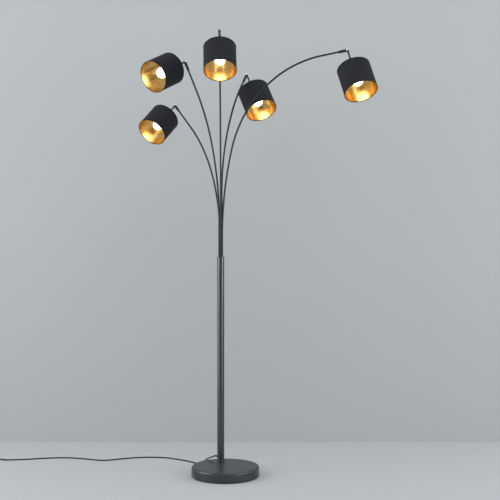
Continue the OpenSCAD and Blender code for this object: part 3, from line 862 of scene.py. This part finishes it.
@dataclass
class MainsCord:
    """The cord from the pole to the foot switch, and on through its coil to the plug."""

    finishes: Finishes
    diameter: float = 0.006
    step: float = 0.005
    pole: tuple[float, float] = (-23.0, 72.0)
    outlet_z: float = 68.0
    outlet_deg: float = 135.0
    outlet_out: float = 26.0
    floor_z: float = 3.05
    straight: float = 9.0
    switch_in: Point = (-1110.0, 300.0, 10.0)
    switch_out: Point = (-1222.0, 300.0, 10.0)
    coil_at: tuple[float, float] = (-1225.0, 205.0)
    coil_r: float = 39.0
    coil_pitch: float = 6.8
    coil_layer: float = 6.6
    coil_lead: float = 6.0
    coil_steps: int = 216
    turns_up: float = 1.0
    turns_down: float = 1.5
    plug_back: float = 46.0
    plug_half: float = 6.9
    relief_l: float = 24.0
    relief_end_r: float = 3.55
    relief_step: float = 0.0008
    relief_points: int = 14
    rib_from: float = 5.0
    rib_to: float = 21.0
    rib_pitch: float = 3.6
    rib_cut: float = 1.3
    rib_depth: float = 0.55
    outlet_sunk: float = 8.0
    outlet_wide: float = 5.6
    switch_sunk: float = 13.0
    switch_wide: float = 6.6
    plug_sunk: float = 15.0
    plug_wide: float = 5.7

    def outlet(self) -> tuple[Vector, Vector]:
        """Finds where the cord leaves the pole.

        Returns:
            The point, in metres, and the direction outward.
        """
        turn = math.radians(self.outlet_deg)
        way = Vector((math.cos(turn), math.sin(turn), 0.0))
        return Vector((*self.pole, self.outlet_z)) * MM + way * self.outlet_out * MM, way

    def run(self) -> Points:
        """Lays the route from the pole to the switch.

        Returns:
            Its points, in metres.
        """
        start, way = self.outlet()
        z = self.floor_z
        floor = [(-64, 113, 58.5), (-79, 129, 50.5), (-95, 149, 37), (-111, 175, 20), (-128, 205, 7),
                 (-150, 238, z), (-185, 276, z), (-234, 312, z), (-296, 347, z), (-378, 358, z),
                 (-435, 350, z), (-485, 333, z), (-553, 300, z), (-597, 292, z), (-661, 315, z),
                 (-730, 340, z), (-800, 347, z), (-870, 337, z), (-940, 318, z), (-1010, 304, z),
                 (-1050, 300, 3.8), (-1078, 300, 7.5)]
        x, y, high = self.switch_in
        return [start, start + way * self.straight * MM,
                *metres([*floor, (x + self.straight, y, high), (x, y, high)])]

    def coil_point(self, a: float) -> Point:
        """A point of the coil, which winds in above, comes down a layer and winds out on the floor.

        Args:
            a: Degrees wound so far.

        Returns:
            The point, in millimetres.
        """
        turn = 360 * self.turns_up
        back = turn + 90
        radius = self.coil_r - self.coil_pitch * (a if a <= back else 2 * back - a) / 360
        t = min(1.0, max(0.0, (a - turn) / 180))
        height = self.floor_z + self.coil_layer * (1 - t * t * (3 - 2 * t))
        at = math.radians(180 + a)
        return (self.coil_at[0] + radius * math.cos(at), self.coil_at[1] + radius * math.sin(at), height)

    def rest(self) -> Points:
        """Lays the route from the switch through the coil to the plug.

        Returns:
            Its fine points, in metres.
        """
        x, y, z = self.switch_out
        whole = 360 * self.turns_up + 180 + 360 * self.turns_down
        first, last = self.coil_point(0.0), self.coil_point(whole)
        begin = (first[0], first[1] + self.coil_lead, first[2])
        end = (last[0], last[1] - self.coil_lead, last[2])
        plug = (end[0], end[1] - self.plug_back, self.plug_half)
        lead = [(x, y, z), (x - self.straight, y, z), (-1248, 296, z), (-1260, 284, 9.8),
                (begin[0], 266, 9.7), (begin[0], 244, begin[2]),
                (begin[0], begin[1] + self.straight, begin[2]), begin]
        tail = [end, (end[0], end[1] - self.straight, end[2]),
                tuple((e + p) / 2 for e, p in zip(end, plug)),
                (plug[0], plug[1] + self.straight, plug[2]), plug]
        turns = metres([self.coil_point(whole * k / self.coil_steps) for k in range(self.coil_steps + 1)])
        return [*eased(metres(lead), self.step), *turns, *eased(metres(tail), self.step)]

    def lifted(self, route: Points) -> Points:
        """Returns the route, lifted where it dips lower than the cord lies on the floor."""
        return [Vector((p.x, p.y, max(p.z, self.floor_z * MM))) for p in route]

    def relief(self, name: str, route: Points, wide: float) -> bpy.types.Object:
        """A tapered, ribbed sleeve over the start of a route.

        Args:
            name: The piece's name.
            route: The cord's fine points, from the housing outward.
            wide: Its radius at the housing, in millimetres.

        Returns:
            The sleeve.
        """
        line = eased(route[:self.relief_points], self.relief_step)
        kept, radii, gone = [], [], 0.0
        for i, point in enumerate(line):
            gone += (point - line[i - 1]).length / MM if i else 0.0
            if gone > self.relief_l:
                break
            t = gone / self.relief_l
            cut = self.rib_from < gone < self.rib_to and gone % self.rib_pitch < self.rib_cut
            kept.append(point)
            radii.append((wide + (self.relief_end_r - wide) * t - (self.rib_depth if cut else 0.0)) * MM)
        return hose(name, kept, radii, self.finishes.of(Finish.SWITCH))

    def build(self) -> list[bpy.types.Object]:
        """Returns:
            The pieces.
        """
        run, rest = self.lifted(eased(self.run(), self.step)), self.lifted(self.rest())
        half, sheath = self.diameter / 2, self.finishes.of(Finish.SHEATH)
        first = hose("mains_cord", run, [half] * len(run), sheath)
        second = hose("coiled_cord", rest, [half] * len(rest), sheath)
        start, way = self.outlet()
        front = run[-1] + (run[-1] - run[-2]).normalized() * self.switch_sunk * MM
        back = rest[0] + Vector((self.switch_sunk * MM, 0, 0))
        plug = rest[-1] - Vector((0, self.plug_sunk * MM, 0))
        boots = [self.relief("outlet_relief", [start - way * self.outlet_sunk * MM, *run], self.outlet_wide),
                 self.relief("switch_relief_front", [front, *reversed(run)], self.switch_wide),
                 self.relief("switch_relief_back", [back, *rest], self.switch_wide),
                 self.relief("plug_relief", [plug, *reversed(rest)], self.plug_wide)]
        for boot in boots:
            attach(boot, "lamp")
        for cord in (first, second):
            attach(cord, "lamp")
        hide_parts("cord_run")
        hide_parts("cord_lead", "cord_coil", "cord_tail")
        log.info("cord: %.3f m to the switch and %.3f m on to the plug",
                 self.measured(run), self.measured(rest))
        return [first, second, *boots]

    def measured(self, route: Points) -> float:
        """Returns the length of a route, in metres."""
        return sum((b - a).length for a, b in zip(route, route[1:]))


# The stand


@dataclass
class Stand:
    """Base, pole, collar and what is inside them."""

    finishes: Finishes
    coats: tuple[tuple[str, Finish], ...] = (
        ("base_cover", Finish.BASE), ("base_weight", Finish.STONE), ("base_plate", Finish.FOOT),
        ("base_pad", Finish.FELT), ("pole_foot", Finish.ZINC), ("foot_nut", Finish.ZINC),
        ("lower_pole", Finish.POLE), ("pole_joiner", Finish.JOINER), ("upper_pole", Finish.POLE),
        ("collar", Finish.POLE), ("arm_seat", Finish.ZINC), ("cord_bushing", Finish.SHEATH),
        ("switch_body", Finish.SWITCH), ("switch_button", Finish.BUTTON), ("plug_body", Finish.PLUG),
        ("plug_pins", Finish.PIN))

    def build(self) -> list[bpy.types.Object]:
        """Dresses the stand's CAD nodes and returns them."""
        return [dress(node, self.finishes.of(finish)) for node, finish in self.coats]


# The heads


@dataclass
class Head:
    """One arm's end: hinge, stem, lampholder, shade and lit bulb."""

    number: int
    tilt: float
    finishes: Finishes
    stem_l: float = 95.0
    radius: float = 70.0
    height: float = 125.0
    wall: float = 1.2
    hem: float = 2.4
    tape: float = 5.0
    turned: float = 3.3
    lap: int = 5
    steps: int = 176
    rows: int = 12
    edge: float = 0.9
    glue: float = 0.01
    lap_mm: float = 0.4
    shoulder: float = 2.2
    roll_points: int = 13
    tape_out: float = 0.34
    tape_in: float = 0.36
    tape_lip: Outline = ((-0.3, 0.0), (0.2, 0.0), (0.32, -0.4))
    turned_lip: Outline = ((-0.34, -0.3), (-0.2, 0.0), (0.3, 0.0))
    bulb_drop: float = 67.5
    bulb_r: float = 22.5
    bulb_from: float = -54.0
    bulb_points: int = 26
    bulb_steps: int = 72
    neck: Outline = ((8.6, 40.6), (9.6, 42.0), (10.6, 44.5), (11.9, 47.4))
    contact: Outline = ((0.0, 14.2), (2.8, 14.2), (3.2, 14.8), (5.4, 16.2))
    skirt: Outline = ((7.0, 39.4), (8.4, 40.8), (0.0, 40.8))
    thread_r: float = 6.55
    thread_deep: float = 0.42
    thread_pitch: float = 2.82
    thread_from: float = 17.5
    thread_turns: float = 7.5
    thread_points: int = 8
    cap_steps: int = 48
    coats: tuple[tuple[str, Finish], ...] = (
        ("arm", Finish.ARM), ("knuckle", Finish.ARM), ("hinge_screw", Finish.NICKEL), ("stem", Finish.ARM),
        ("holder", Finish.SOCKET), ("fitter", Finish.WIRE))

    def place(self) -> Matrix:
        """Finds the shade's top edge from the head's joints.

        Returns:
            A frame there, with its Z along the shade's axis.
        """
        joints = {j["name"]: j for j in frame["joints"]}
        pin = joints[f"tilt_head_{self.number}"]
        y = Vector(pin["axis"]).normalized()
        end = Vector(joints[f"swivel_head_{self.number}"]["axis"]).normalized()
        z = Matrix.Rotation(math.radians(self.tilt), 3, y) @ end
        x = y.cross(z)
        turned = Matrix((x, y, z)).transposed().to_4x4()
        return Matrix.Translation(Vector(pin["pos_m"]) + z * self.stem_l * MM) @ turned

    def tube(self, outer: float, inner: float, uv_radius: float) -> bmesh.types.BMesh:
        """A thin tube between the hems, with its UV map.

        Args:
            outer: Its outer radius.
            inner: Its inner radius.
            uv_radius: Radius at which the UV map is measured.

        Returns:
            The tube's bmesh.
        """
        span = self.height - 2 * self.edge
        levels = [self.edge + span * k / self.rows for k in range(self.rows + 1)]
        bm = lathe([(outer, z) for z in levels] + [(inner, z) for z in reversed(levels)], self.steps, True)
        wrap(bm, uv_radius)
        return bm

    def cloth(self) -> bpy.types.Object:
        """Makes the outer cloth: a thin tube with a glued lap down one side.

        Returns:
            The cloth.
        """
        bm = self.tube(self.radius, self.radius - self.wall / 2, self.radius)
        lap_deg = 360 / self.steps * self.lap
        for v in bm.verts:
            turn = math.degrees(math.atan2(v.co.y, v.co.x))
            in_lap = abs(turn - 180 + lap_deg) % 360 < lap_deg / 2
            if in_lap and v.co.xy.length > (self.radius - self.wall / 4) * MM:
                v.co.xy *= 1 + self.lap_mm / self.radius
        return finished(bm, f"shade_cloth_{self.number}", self.place(), self.finishes.of(Finish.CLOTH))

    def foil(self) -> bpy.types.Object:
        """Makes the gold lining.

        Returns:
            The lining.
        """
        inner = self.radius - self.wall
        bm = self.tube(self.radius - self.wall / 2 - self.glue, inner, inner)
        return finished(bm, f"shade_foil_{self.number}", self.place(), self.finishes.of(Finish.FOIL))

    def hems(self) -> bpy.types.Object:
        """Makes both hems: tape down the outside, round the rolled edge and a little way up the inside.

        Returns:
            Both hems, as one piece.
        """
        thick, mid = self.hem / 2, self.radius - self.hem / 4
        outer, inner, low = self.radius, self.radius - self.wall, self.shoulder
        roll = arc((mid, thick), thick, 0.0, -180.0, self.roll_points)
        outside = [*((outer + r, self.tape + z) for r, z in self.tape_lip), (outer + self.tape_out, low)]
        inside = [(inner - self.tape_in, low), *((inner + r, self.turned + z) for r, z in self.turned_lip)]
        bm = lathe([*outside, *roll, *inside], self.steps, True)
        twin = bmesh.ops.duplicate(bm, geom=[*bm.verts, *bm.edges, *bm.faces])
        far = [g for g in twin["geom"] if isinstance(g, bmesh.types.BMVert)]
        bmesh.ops.scale(bm, vec=(1, 1, -1), verts=far)
        bmesh.ops.translate(bm, vec=(0, 0, self.height * MM), verts=far)
        bmesh.ops.recalc_face_normals(bm, faces=bm.faces)
        wrap(bm, self.radius)
        return finished(bm, f"shade_hems_{self.number}", self.place(), self.finishes.of(Finish.HEM))

    def globe(self) -> bpy.types.Object:
        """Makes the bulb's frosted glass.

        Returns:
            The glass.
        """
        foot = arc((0.0, self.bulb_drop), self.bulb_r, self.bulb_from, 90.0, self.bulb_points)
        tip = (0.0, self.bulb_drop + self.bulb_r)
        bm = lathe([(0.0, self.neck[0][1]), *self.neck, *foot[:-1], tip], self.bulb_steps, False)
        return finished(bm, f"bulb_glass_{self.number}", self.place(), self.finishes.of(Finish.GLASS),
                        smooth_deg=60.0)

    def cap(self) -> bpy.types.Object:
        """Makes the bulb's screw cap: a thread of rounded rings, and the contact.

        Returns:
            The cap.
        """
        steps = [n / self.thread_points for n in range(round(self.thread_turns * self.thread_points) + 1)]
        rings = [(self.thread_r + self.thread_deep * math.sin(2 * math.pi * k),
                  self.thread_from + self.thread_pitch * k) for k in steps]
        bm = lathe([*self.contact, *rings, *self.skirt], self.cap_steps, False)
        return finished(bm, f"bulb_cap_{self.number}", self.place(), self.finishes.of(Finish.NICKEL),
                        smooth_deg=50.0)

    def build(self) -> list[bpy.types.Object]:
        """Makes the head's soft and glass pieces and dresses its CAD nodes.

        Returns:
            The pieces.
        """
        body, n = f"head_{self.number}", self.number
        cloth, foil, hems, globe, cap = self.cloth(), self.foil(), self.hems(), self.globe(), self.cap()
        for piece in (cloth, foil, hems):
            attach(piece, body)
        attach(globe, body)
        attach(cap, body)
        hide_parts(f"shade_{n}")
        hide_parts(f"bulb_{n}")
        dressed = [dress(f"{node}_{n}", self.finishes.of(finish)) for node, finish in self.coats]
        return [cloth, foil, hems, globe, cap, *dressed]


def main() -> None:
    """Builds the lamp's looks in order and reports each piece."""
    finishes = Finishes()
    studio = Studio()
    studio.camera()
    pieces = MainsCord(finishes).build()
    studio.build()
    pieces += Stand(finishes).build()
    for number, tilt in enumerate(HEAD_TILTS, 1):
        pieces += Head(number, tilt, finishes).build()
    for piece in pieces:
        log.info("%s: %s", piece.name, piece.data.materials[0].name)


if __name__ == "__main__":
    main()
